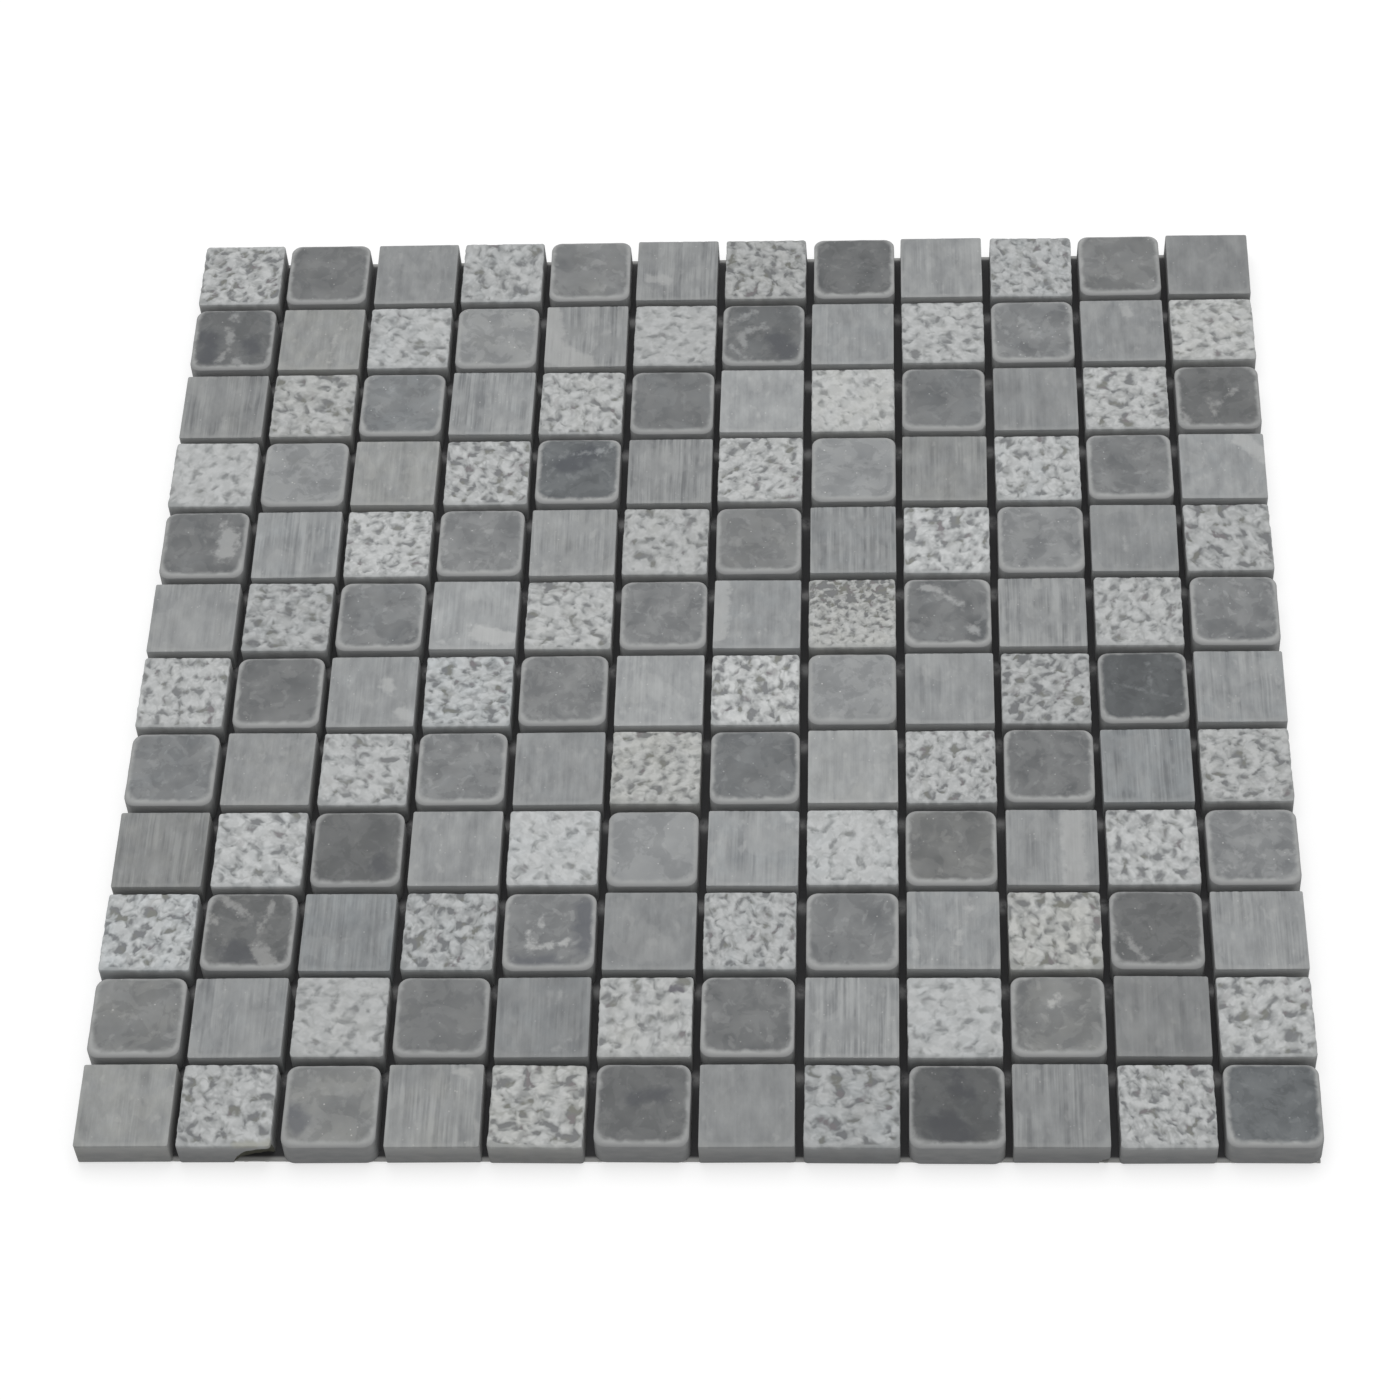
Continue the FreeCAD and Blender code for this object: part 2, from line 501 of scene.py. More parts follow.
def map_place(point, normal):
    """Where a point of a face lies on the chip's flat layout, in millimetres."""
    x, y, up = point[0] + HALF_SIDE, point[1] + HALF_SIDE, point[2] - CHIP_BASE / MM
    if normal.z > 0.3:
        return x, y
    if normal.z < -0.5:
        return UNDERSIDE + UNDERSIDE_SCALE * x, UNDERSIDE + UNDERSIDE_SCALE * y
    if abs(normal.y) > abs(normal.x):
        return x, (FIRST_STRIP if normal.y < 0 else SECOND_STRIP) + up
    return (FIRST_STRIP if normal.x < 0 else SECOND_STRIP) + up, y


def lay_out(mesh):
    """Makes the bake map of one chip, which fills the whole map."""
    flat = mesh.uv_layers.new(name="OFBake")
    points = point_array(mesh)
    for face in mesh.polygons:
        for loop in face.loop_indices:
            place = map_place(points[mesh.loops[loop].vertex_index], face.normal)
            flat.data[loop].uv = [length / MAP_SIDE for length in place]


for pattern in patterns.values():
    while pattern.data.uv_layers:
        pattern.data.uv_layers.remove(pattern.data.uv_layers[0])
    lay_out(pattern.data)
    pattern.data.uv_layers.new(name="slab")
print("the bake map of a chip is", MAP_SIDE, "mm wide")

# %% [markdown]
# ## Every chip its own piece of stone
# Chips of one finish differ as pieces of natural stone do. Hand-picked numbers for 144 chips would
# be a long table, and pure chance would lose the look of this sheet. So seeded chance gives each
# chip a tone, a tint, and a place and direction in an imagined slab. Where a chip's mean tone in a
# render was clearly off from the photograph's, it was put in one of five named groups instead. A
# few more are named as bluish, brownish, faint or fine.

# %% Give each chip its own character
TONE_SPREAD = {"bush_hammered": 0.07, "tumbled": 0.20, "brushed": 0.10}
MARK_RANGE = {"bush_hammered": (0.6, 1.3), "tumbled": (0.5, 1.3), "brushed": (0.3, 1.7)}
GRAIN_RANGE = (0.85, 1.15)
DARKEST_CHIPS = {(12, 9), (7, 11)}
DARK_CHIPS = {
    (1, 7), (1, 8), (1, 12), (2, 1), (2, 7), (3, 12), (4, 5), (9, 1), (9, 3), (10, 2), (10, 11),
    (11, 5), (12, 6), (12, 8), (12, 12),
}
DULL_CHIPS = {
    (1, 2), (1, 3), (1, 4), (1, 6), (3, 2), (3, 6), (4, 6), (5, 1), (5, 12), (6, 8), (7, 2), (8, 11),
    (9, 9), (12, 7),
}
LIGHT_CHIPS = {
    (1, 5), (2, 8), (3, 3), (4, 4), (4, 7), (5, 7), (6, 7), (6, 10), (6, 12), (7, 3), (7, 4), (8, 4),
    (9, 4), (9, 8), (10, 5), (10, 12), (11, 1), (12, 1),
}
PALE_CHIPS = {(2, 4), (3, 7), (4, 2), (4, 8), (6, 4), (7, 6), (7, 7), (7, 8), (9, 6)}
LEVELS = (
    (-4.0, DARKEST_CHIPS), (-2.0, DARK_CHIPS), (-0.9, DULL_CHIPS), (0.4, LIGHT_CHIPS), (2.0, PALE_CHIPS)
)
BLUE_CHIPS = {(4, 5), (7, 11), (12, 12)}
WARM_CHIPS = {(6, 8), (9, 9), (11, 10), (12, 1)}
BLUE_LEAN = -1.3
WARM_LEAN = 0.5
FAINT_HAMMERED = {(2, 6), (3, 8), (4, 1), (9, 5), (9, 8), (11, 3), (11, 9)}
FINE_HAMMERED = {(6, 8)}


def character(finish, row, column):
    """The numbers that make one chip differ from the next."""
    chance = random.Random(f"{finish} {row} {column}")
    place = (row, column)
    level = chance.gauss(0, 1)
    level = next((named for named, chips in LEVELS if place in chips), level)
    tint = chance.gauss(0, 0.2)
    if place in BLUE_CHIPS:
        tint = BLUE_LEAN
    if place in WARM_CHIPS:
        tint = WARM_LEAN
    marks = 0.05 if place in FAINT_HAMMERED else chance.uniform(*MARK_RANGE[finish])
    if finish == "tumbled" and place in PALE_CHIPS:
        marks = 0.4
    angle = chance.uniform(0, 180) if finish != "brushed" else 0.0
    return {
        "tone": math.exp(level * TONE_SPREAD[finish]),
        "tint": tint,
        "marks": marks,
        "angle": math.radians(angle),
        "start": (chance.uniform(-900, 900), chance.uniform(-900, 900)),
        "grain": 0.62 if place in FINE_HAMMERED else chance.uniform(*GRAIN_RANGE),
        "fade": 0.11 if place in FINE_HAMMERED else 0.0,
    }


print(sum(len(chips) for level, chips in LEVELS), "chips are named for their tone")

# %% [markdown]
# ## Veins and stains
# Pale veins and darker stains cross some chips of the real stone, and the eye remembers them.
# Painting them would take a picture for each chip. Here each one is a few short strokes: from a
# point to a point and so wide, in millimetres from the chip's middle. Each point of a chip keeps
# its distance from the nearest stroke, and the material makes that ragged.

# %% Place the veins and stains that stand out
PALE_VEINS = {
    (10, 2): [
        (-7.2, 10.4, -1.8, 4.8, 0.9), (-11, 4, -8.5, 3.2, 0.9), (5.2, 8.5, 2.6, 0.6, 0.5),
        (3, -5, 6, -10, 1.9),
    ],
    (10, 5): [(-3, -4.6, 4, -3.3, 0.7), (-5, 0.5, -4.5, -6, 0.4), (-2.5, 1.5, -2, 4.5, 0.3)],
    (10, 11): [(-10.8, 0, -7, -2.5, 0.3), (-7, -2.5, -3, -10, 0.6)],
    (11, 10): [(-2, 2.5, -0.5, 5.5, 0.7)],
    (6, 9): [(-6, 8.7, -2.5, 7.5, 1.1), (-2.5, 7.5, 4, 2, 0.5), (6.5, -5, 7, -6.5, 1.1)],
    (2, 1): [
        (-1.5, 3.2, -0.3, -0.8, 0.9), (-0.3, -0.8, -3.2, -9, 0.5), (1.5, -8, 3.8, -10, 1.0),
        (0, 9.5, 0, 7.8, 0.8),
    ],
    (2, 7): [
        (-10, 4.5, -2.5, 9, 0.5), (-7, 0, 0, 3.5, 0.8), (-6, -0.5, -5, -4, 0.8), (-9.5, -4, -4, -9, 0.5)
    ],
    (5, 1): [(6.4, 3, 6, -2.6, 2.7), (4.5, 7, 4.6, 5.5, 0.7)],
    (4, 5): [(-1, 5.8, 5, 7, 0.2), (5, 7, 9, 9.5, 0.8)],
    (3, 12): [(-0.3, -2.5, 6, 4, 0.2), (-2.5, -1, -0.5, -8, 0.3), (-10.5, -4, -8.4, -9.6, 0.4)],
    (7, 11): [(-7, 1.2, 7.4, -3.6, 0.0), (1.5, 8, 2, -1, 0.0)],
    (1, 6): [(-8, -3, -3, -4, 1.6)],
    (2, 2): [(8, 10, 4, 2, 0.3), (4, 2, 3, -9, 0.2)],
    (2, 5): [(-11, 9, -9, 0, 3.2), (-9, -6, -1, -11, 4.0)],
    (2, 11): [(1, 9, 1.5, 6, 1.5)],
    (4, 12): [(5, 10, 12, 3, 2.2)],
    (5, 11): [(-2.5, 0, -2.5, -5, 0.2)],
    (6, 4): [(1, -6, 9, -8, 2.6), (-8, -9, -6, -10, 0.6)],
    (6, 5): [(9, -9, 11, -8, 1.6)],
    (6, 7): [(-10.8, 11, -10.8, -6, 3.4)],
    (7, 3): [(3.5, 3, 4.5, 0, 1.6), (8, -7, 11, -9, 1.8)],
    (9, 7): [(8, 10, 11, 7, 1.0)],
    (9, 10): [(5.5, 10, 5.5, -11, 2.8)],
    (10, 9): [(4, 8, 4, 5, 0.7), (2, 0, 0.5, -5, 0.7), (-10, -2, -9, -8, 0.7)],
    (11, 5): [(7, -7, 3, -8.5, 0.7), (5, 8, 3, 4, 0.3)],
    (12, 4): [(5, 9.5, 8, 8.5, 1.3)],
}
DARK_STAINS = {
    (2, 1): [(-7, 1, -7, -7, 2.4), (5, -1, 6, -4, 1.8)],
    (2, 7): [(4, -2, 6, -6, 3.0)],
    (4, 5): [(-3, 2, 3, 6, 3.0)],
    (10, 5): [(9, 7, 9, -4, 2.6), (-8, -9, 2, -10, 1.6)],
    (10, 2): [(-4, -6, 1, -7, 2.6)],
    (12, 9): [(-3, -5, 0, -8, 3.8), (0, 8, 2, 3, 1.5)],
    (12, 3): [(-9, -2, -8, -5, 2.2)],
    (12, 6): [(-2, 2, 5, 3, 1.6)],
    (9, 3): [(5, -4, 7, -6, 2.0)],
    (11, 6): [(6, 8.2, 9, 7.3, 1.5)],
}
SOILED = {(12, 2): [(4, -11.2, 11, -10.6, 1.2)]}
STROKES = {"vein_gap": PALE_VEINS, "stain_gap": DARK_STAINS, "soil_gap": SOILED}
FAR = 9.0
HAMMERED_STRETCH = 1.2


def stroke_gap(points, strokes):
    """How far each point lies outside the nearest of a chip's strokes."""
    gap = np.full(len(points), FAR)
    for x1, y1, x2, y2, half_width in strokes:
        start, run = np.array((x1, y1)), np.array((x2 - x1, y2 - y1))
        share = ((points[:, :2] - start) @ run / (run @ run)).clip(0, 1)
        nearest = start + share[:, None] * run
        gap = np.minimum(gap, np.linalg.norm(points[:, :2] - nearest, axis=1) - half_width)
    return gap


def place_on_slab(mesh, own, stretch):
    """The map from a chip to its imagined slab, in millimetres, drawn out along its angle."""
    points = point_array(mesh)
    turn, lean = math.cos(own["angle"]), math.sin(own["angle"])
    across = (points[:, 0] * turn + points[:, 1] * lean) / own["grain"]
    along = (points[:, 1] * turn - points[:, 0] * lean) / own["grain"] / stretch
    corners = np.zeros(len(mesh.loops), int)
    mesh.loops.foreach_get("vertex_index", corners)
    slab = np.column_stack((across + own["start"][0], along + own["start"][1]))[corners]
    mesh.uv_layers["slab"].data.foreach_set("uv", slab.ravel())


def give_character(mesh, finish, row, column):
    """Writes a chip's character and strokes into its mesh, while it is still at the middle."""
    own = character(finish, row, column)
    points = point_array(mesh)
    add_trait(mesh, "tone", own["tone"])
    add_trait(mesh, "tint", own["tint"])
    add_trait(mesh, "marks", own["marks"] + own["fade"] * points[:, 1])
    for name, strokes in STROKES.items():
        add_trait(mesh, name, stroke_gap(points, strokes.get((row, column), [])))
    place_on_slab(mesh, own, HAMMERED_STRETCH if finish == "bush_hammered" else 1.0)


print(len({*PALE_VEINS, *DARK_STAINS}), "chips have veins or stains of their own")

# %% [markdown]
# ## The patterns of the three finishes
# A bush hammer crushes the stone pale. It leaves dark hollows that it missed, and thin cracks
# wander between them. A brush leaves long grooves, which fade out in places. That could be
# sculpted blow by blow, but both tools work at random. So each pattern is noise on the chip's
# slab, written once, for the relief and for the colour.

# %% Write the hammer's and the brush's patterns
def elsewhere(recipe, across, along):
    """Another part of the slab, so that a second noise doesn't repeat the first."""
    return recipe.stretched(recipe.slab(), (1, 1, 1), (across, along, 0))


def hammer_hollows(recipe):
    """How far the stone lies below the hammer's reach. Above 0 it is left dark."""
    face = recipe.noise(recipe.slab(), 2.8, detail=2.0, distortion=0.35)
    drift = recipe.noise(elsewhere(recipe, 31, 7), 7.0, detail=1.0) - 0.5
    return 0.36 + recipe.trait("marks") * 0.07 + drift * 0.14 - face


def hammer_cracks(recipe):
    """Thin dark lines where a noise crosses its middle, in some places only."""
    path = recipe.noise(elsewhere(recipe, 50, 80), 3.2, detail=1.5, distortion=0.4) - 0.5
    some = recipe.ramp(recipe.noise(elsewhere(recipe, 90, 10), 4.0), 0.42, 0.60)
    return (1 - recipe.ramp(recipe.math("ABSOLUTE", path), 0.02, 0.10)) * some


def brush_grooves(recipe):
    """Long grooves from front to back, a little above and below 0."""
    wavy = recipe.ruffled(recipe.slab(), 8.0, 0.5)
    lines = recipe.noise(recipe.stretched(wavy, (1, 40, 1)), 1.9, detail=2.6, roughness=0.85) - 0.5
    reach = recipe.ramp(recipe.noise(elsewhere(recipe, 11, 3), 7.0, detail=1.0), 0.34, 0.62)
    return lines * (reach * 0.85 + 0.15) * recipe.trait("marks")


print("the patterns can now be carved and coloured")

# %% [markdown]
# ## Carving the relief
# Light shows a finish by its relief as much as by its colour. Bump would only shade it, and
# displacement in a material is lost outside Blender. So a small geometry node tree carves it, and
# is applied. It pushes points inwards, never outwards, so that a chip stays inside its block.

# %% Move points with geometry nodes
class Relief(Recipe):
    """A geometry node tree under construction, which moves a piece's points."""

    def __init__(self, name):
        tree = bpy.data.node_groups.new(name, "GeometryNodeTree")
        tree.interface.new_socket("Geometry", in_out="INPUT", socket_type="NodeSocketGeometry")
        tree.interface.new_socket("Geometry", in_out="OUTPUT", socket_type="NodeSocketGeometry")
        super().__init__(tree)

    def place(self):
        return self.node("GeometryNodeInputPosition")

    def slab(self):
        return self.node("GeometryNodeInputNamedAttribute", {"data_type": "FLOAT_VECTOR"}, {"Name": "slab"})

    def trait(self, name):
        return self.node("GeometryNodeInputNamedAttribute", {"data_type": "FLOAT"}, {"Name": name})

    def move(self, sink, wear):
        """Sinks points straight down, and wears them inwards against their normals, in mm."""
        down = self.node("ShaderNodeCombineXYZ", {}, {"Z": sink * -MM})
        normal = self.node("GeometryNodeInputNormal")
        both = self.vector("ADD", down, self.scaled(normal, wear * -MM))
        start = self.tree.nodes.new("NodeGroupInput")
        end = self.tree.nodes.new("NodeGroupOutput")
        source = Wire(self, start.outputs[0])
        moved = self.node("GeometryNodeSetPosition", {}, {"Geometry": source, "Offset": both})
        self.tree.links.new(moved.socket, end.inputs[0])
        return self.tree


def arris_share(recipe, place):
    """0 at the foot of the sides and 1 at their top."""
    return recipe.ramp(recipe.height(place), 1.0, 6.5)


print("points can now be moved")

# %% [markdown]
# ## The relief of each finish
# The hammer's hollows are a quarter of a millimetre deep, with fine pits between them, and its
# blows break the arris. Tumbling leaves the top even and the sides softly dented. The brush cuts
# grooves in the top, and leaves the arris nearly straight. A scan would give the real depths. They
# were chosen here, in millimetres, as a photograph shows only their shade.

# %% Carve each finish
HOLLOW_DEPTH = 0.26
PIT_DEPTH = 0.14
HAMMERED_WEAR = 0.22
SWELL_DEPTH = 0.16
DENT_DEPTH = 0.07
GROOVE_DEPTH = 0.16
BRUSHED_WEAR = 0.12


def hammered_relief():
    recipe = Relief("hammered_relief")
    place = recipe.place()
    inside = recipe.ramp(recipe.trait("rim_gap"), -0.1, 0.6)
    hollows = recipe.ramp(hammer_hollows(recipe), -0.12, 0.10)
    pits = recipe.noise(recipe.slab(), 0.9, detail=1.0)
    sink = (hollows * HOLLOW_DEPTH + pits * PIT_DEPTH) * inside
    edge = recipe.ramp(recipe.noise(place, 2.2 * MM, detail=1.0), 0.35, 0.75)
    wear = edge * arris_share(recipe, place) * (1 - inside) * HAMMERED_WEAR
    return recipe.move(sink * recipe.ramp(recipe.height(place), 7.0, 7.5), wear)


def tumbled_relief():
    recipe = Relief("tumbled_relief")
    place = recipe.place()
    swell = recipe.noise(place, 5 * MM, detail=1.0)
    dents = recipe.noise(place, 1.4 * MM, detail=1.0)
    wear = (swell * SWELL_DEPTH + dents * DENT_DEPTH) * arris_share(recipe, place)
    return recipe.move(0.0, wear)


def brushed_relief():
    recipe = Relief("brushed_relief")
    place = recipe.place()
    top = recipe.ramp(recipe.height(place), 7.3, 7.7)
    sink = recipe.ramp(0 - brush_grooves(recipe), -0.02, 0.16) * GROOVE_DEPTH * top
    wear = recipe.noise(place, 3 * MM, detail=2.0) * BRUSHED_WEAR * arris_share(recipe, place)
    return recipe.move(sink, wear)


reliefs = {"bush_hammered": hammered_relief(), "tumbled": tumbled_relief(), "brushed": brushed_relief()}
print(len(reliefs), "reliefs are ready to carve")

# %% [markdown]
# ## Two broken corners
# Two chips of the front row lost a piece of a lower corner. Points could be pulled in by hand, but
# stone breaks away in a shell. A ball that is drawn out and dented is cut from the chip instead.
# The points that the cut adds know nothing of the edge, so it is measured again after it.

# %% Break a corner away
BROKEN_CORNERS = {(12, 2): (9.5, 3.0, 6.3), (12, 10): (2.6, 2.0, 2.0)}
DENT_WIDTH = 1.6 * MM
DENT_REACH = 0.5 * MM
HAIR = 0.04 * MM
FREE_CORNER = 0.965
FREE_SIDE = 0.03


def make_ball(reach):
    """A dented ball round the lower right corner of a chip's front."""
    bpy.ops.object.select_all(action="DESELECT")
    bpy.ops.mesh.primitive_ico_sphere_add(subdivisions=5, radius=1)
    ball = bpy.context.object
    ball.scale = [length * MM for length in reach]
    ball.location = (CHIP_SIDE / 2, -CHIP_SIDE / 2, CHIP_BASE)
    bpy.ops.object.transform_apply(location=True, rotation=True, scale=True)
    roughen(ball)
    lay_out_ball(ball.data)
    add_trait(ball.data, "broken", 1.0, "FACE")
    return ball


def roughen(ball):
    """Stone breaks in shallow steps, so the ball is dented."""
    dents = bpy.data.textures.new("break", "CLOUDS")
    dents.noise_scale = DENT_WIDTH
    dent = ball.modifiers.new("dents", "DISPLACE")
    dent.texture = dents
    dent.strength = DENT_REACH
    dent.mid_level = 0.5
    bpy.ops.object.modifier_apply(modifier=dent.name)


def lay_out_ball(mesh):
    """The scoop's part of the bake map is a free corner of the chip's own."""
    mesh.uv_layers[0].name = "OFBake"
    for corner in mesh.uv_layers["OFBake"].data:
        corner.uv = [FREE_CORNER + FREE_SIDE * length for length in corner.uv]
    mesh.uv_layers.new(name="slab")


def break_corner(chip, reach):
    """Takes a rough scoop out of that corner."""
    ball = make_ball(reach)
    cut = chip.modifiers.new("break", "BOOLEAN")
    cut.operation = "DIFFERENCE"
    cut.solver = "EXACT"
    cut.object = ball
    bpy.context.view_layer.objects.active = chip
    bpy.ops.object.modifier_apply(modifier=cut.name)
    bpy.data.objects.remove(ball)
    merge_slivers()
    measure_edges(chip.data)


def merge_slivers():
    """Joins points that the cut left a hair apart, so that it leaves no loose faces."""
    bpy.ops.object.mode_set(mode="EDIT")
    bpy.ops.mesh.select_all(action="SELECT")
    bpy.ops.mesh.remove_doubles(threshold=HAIR)
    bpy.ops.object.mode_set(mode="OBJECT")


print(len(BROKEN_CORNERS), "corners will be broken")

# %% [markdown]
# ## Laying the chips
# Like chips of a row are one piece here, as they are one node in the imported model. Instances would
# be lighter, but every chip has its own relief. So a pattern is copied with a mesh of its own,
# which is moved into its place. The four chips of a piece are then joined and carved.

# %% Lay, join and carve the chips
def lay_chip(finish, row, chip, quarter):
    """One chip in its place, with the quarter of its piece's bake map that it uses."""
    laid_chip = patterns[finish].copy()
    laid_chip.data = patterns[finish].data.copy()
    bpy.context.collection.objects.link(laid_chip)
    if (row, chip["column"]) in BROKEN_CORNERS:
        break_corner(laid_chip, BROKEN_CORNERS[row, chip["column"]])
    mesh = laid_chip.data
    give_character(mesh, finish, row, chip["column"])
    keep_to_quarter(mesh, quarter)
    mesh.transform(Matrix.Translation(chip["middle"]) @ Matrix.Rotation(chip["turn"], 4, "Z"))
    return laid_chip


def keep_to_quarter(mesh, quarter):
    """Shrinks a chip's bake map to a quarter, so that four chips share one map."""
    flat = np.zeros(len(mesh.loops) * 2)
    mesh.uv_layers["OFBake"].data.foreach_get("uv", flat)
    corner = np.array((quarter % 2, quarter // 2)) / 2
    mesh.uv_layers["OFBake"].data.foreach_set("uv", (flat.reshape(-1, 2) / 2 + corner).ravel())


def join_row(finish, row):
    """Joins a row's chips of one finish in one piece and carves it."""
    chips = [lay_chip(finish, row, chip, quarter) for quarter, chip in enumerate(laid[finish, row])]
    bpy.ops.object.select_all(action="DESELECT")
    for chip in chips:
        chip.select_set(True)
    bpy.context.view_layer.objects.active = chips[0]
    bpy.ops.object.join()
    piece = chips[0]
    piece.name = f"{finish}_stones_row_{row:02d}"
    carve = piece.modifiers.new("relief", "NODES")
    carve.node_group = reliefs[finish]
    bpy.ops.object.modifier_apply(modifier=carve.name)
    bpy.ops.object.shade_smooth_by_angle(angle=math.radians(50))
    return piece


rows = {}
for finish in FINISHES:
    for row in range(1, ROWS + 1):
        rows[finish, row] = join_row(finish, row)
for pattern in patterns.values():
    bpy.data.objects.remove(pattern)
triangles = sum(len(face.vertices) - 2 for piece in rows.values() for face in piece.data.polygons)
print(len(rows), "pieces of stone with", triangles, "triangles")

# %% [markdown]
# ## One grey stone
# All the chips are one grey stone, and some things are alike on all of them: plain sawn sides
# painted paler towards the top as painted light, tiny crystals, pale veins and a breath of blue or
# brown. Written again for each finish, they would drift apart. So they are mixed once here, for each finish
# to call.
# The colours were matched to the photograph from one render to the next.

# %% Mix what all finishes share
SAWN = (0.20, 0.205, 0.208, 1)
SAWN_PALE = (0.235, 0.238, 0.238, 1)
# Pale rubbed stone, which also paints light: on the upper sides, the tumbled rims and corners, and the
# brushed arris.
RUBBED_AND_LIT = (0.36, 0.366, 0.362, 1)
# The break's face: dark olive dirt with painted shade, as the scoop lies in shadow under its overhang.
BREAK_DIRT_AND_SHADE = (0.075, 0.075, 0.056, 1)
VEIN = (0.42, 0.425, 0.42, 1)
WHITE_FLECK = (0.55, 0.55, 0.54, 1)
BLUE_TINT = (0.955, 1.0, 1.035, 1)
WARM_TINT = (1.02, 1.005, 0.955, 1)
finishes = {}


def tinted(recipe, colour):
    """Gives each chip its own tone and a breath of blue or brown."""
    tint = recipe.trait("tint") + (recipe.noise(elsewhere(recipe, 17, 60), 6.0) - 0.5) * 0.9
    cool = recipe.blend(recipe.ramp(0 - tint, 0.0, 1.0), (1, 1, 1, 1), BLUE_TINT)
    both = recipe.blend(recipe.ramp(tint, 0.0, 1.0), cool, WARM_TINT)
    return recipe.scaled(recipe.vector("MULTIPLY", colour, both), recipe.trait("tone"))


def sawn_face(recipe, place, lit_share):
    """The plain sawn sides, with faint level marks of the saw, painted paler by a share of painted light,
    and the face of a break, dark with dirt and painted shade.
    """
    marks = recipe.noise(recipe.stretched(place, (3, 3, 1)), 1.6 * MM, detail=3.0)
    sawn = recipe.blend(recipe.ramp(marks, 0.30, 0.72), SAWN, SAWN_PALE)
    return recipe.blend(recipe.trait("broken"), recipe.blend(lit_share, sawn, RUBBED_AND_LIT), BREAK_DIRT_AND_SHADE)


def upper_sides_light(recipe, place):
    """The upper part of the sides, painted paler there as painted light, since more light reaches it."""
    return recipe.ramp(recipe.height(place), 3.0, 8.4)


def fine_grain(recipe, place):
    """The stone's own crystals, which roughen every face a little."""
    return recipe.noise(place, 0.25 * MM, detail=3.0, roughness=0.6)


def sides(recipe, place):
    """1 on the sawn sides and 0 on the finished top."""
    return 1 - recipe.ramp(recipe.height(place), 6.9, 7.4)


def with_sides(recipe, place, face):
    """Puts the sawn sides, and any break, round a finished top."""
    side = recipe.larger(sides(recipe, place), recipe.trait("broken"))
    # Painted light: the sides are painted paler towards the top.
    sawn = sawn_face(recipe, place, upper_sides_light(recipe, place) * 0.68)
    return recipe.blend(side, face, sawn)


def white_flecks(recipe, place, share):
    """Tiny pale crystals, one in some of the cells of a fine Voronoi pattern."""
    settings = {"voronoi_dimensions": "3D", "feature": "F1"}
    cells = recipe.node("ShaderNodeTexVoronoi", settings, {"Vector": place, "Scale": 1 / (1.5 * MM)})
    dots = 1 - recipe.ramp(cells, 0.10, 0.20)
    chosen = recipe.ramp(recipe.noise(place, 2.5 * MM, detail=0.0), 0.61, 0.68)
    return dots * chosen * share


def veins(recipe, ragged, soft):
    """The named pale strokes, with edges so ragged and so soft, in millimetres."""
    rag = recipe.noise(elsewhere(recipe, 2, 33), 2.6, detail=3.0, roughness=0.6) - 0.5
    return 1 - recipe.ramp(recipe.trait("vein_gap") + rag * ragged, -soft, soft)


print("the shared parts of the stone are ready")

# %% [markdown]
# ## The bush-hammered stone
# The hammer crushes the stone's crystals to a pale ground, and grey, olive and brown flecks stay in
# the hollows that it missed. A second pattern for the flecks wouldn't meet the hollows. So the
# noise that carved them also darkens them, and a few chips get larger stains.

# %% Mix the bush-hammered stone
CRUSHED = (0.495, 0.505, 0.505, 1)
BRUISED = (0.43, 0.44, 0.44, 1)
HOLLOW = (0.30, 0.31, 0.31, 1)
FLECK_GREY = (0.155, 0.16, 0.165, 1)
FLECK_OLIVE = (0.165, 0.168, 0.152, 1)
FLECK_BROWN = (0.165, 0.153, 0.160, 1)
FLECK_STAIN = (0.125, 0.122, 0.138, 1)
SOIL = (0.36, 0.36, 0.315, 1)


def crushed_ground(recipe, below):
    """The pale ground between the flecks, which darkens towards the hollows."""
    crush = recipe.ramp(recipe.noise(elsewhere(recipe, 5, 40), 2.4), 0.40, 0.60)
    return recipe.blend(recipe.ramp(below, -0.16, 0.05), recipe.blend(crush, BRUISED, CRUSHED), HOLLOW)


def fleck_colour(recipe):
    """Grey, with olive and brown in some places."""
    olive = recipe.ramp(recipe.noise(elsewhere(recipe, 8, 20), 5.0), 0.50, 0.62)
    brown = recipe.ramp(recipe.noise(elsewhere(recipe, 70, 25), 4.0, detail=0.0), 0.62, 0.70)
    return recipe.blend(brown, recipe.blend(olive, FLECK_GREY, FLECK_OLIVE), FLECK_BROWN)


def hammered_finish():
    recipe = Finish("bush_hammered_stone")
    place = recipe.place()
    below = hammer_hollows(recipe)
    flecks = recipe.larger(recipe.ramp(below, -0.04, 0.10), hammer_cracks(recipe) * 0.3)
    flecks = flecks * (0.5 + 0.5 * recipe.trait("marks"))
    stain = 1 - recipe.ramp(recipe.trait("stain_gap") - below * 5.0, -0.8, 0.6)
    flecks = recipe.larger(flecks, stain) * recipe.ramp(recipe.trait("rim_gap"), 0.0, 0.5)
    dark = recipe.blend(stain, fleck_colour(recipe), FLECK_STAIN)
    face = recipe.blend(flecks, crushed_ground(recipe, below), dark)
    # Painted shade: the top is darkened towards its edge, most at the front, where it rolls over.
    foot = 1 - recipe.ramp(recipe.trait("rim_gap"), -0.8, 0.9)
    face = recipe.blend(foot * 0.5, face, HOLLOW)
    soil = 1 - recipe.ramp(recipe.trait("soil_gap") - below * 6.0, -0.6, 1.6)
    stone = tinted(recipe, with_sides(recipe, place, recipe.blend(soil * 0.7, face, SOIL)))
    return recipe.close(stone, 0.85 - 0.2 * flecks, fine_grain(recipe, place), 0.06)


finishes["bush_hammered"] = hammered_finish()
print("mixed:", finishes["bush_hammered"].name)

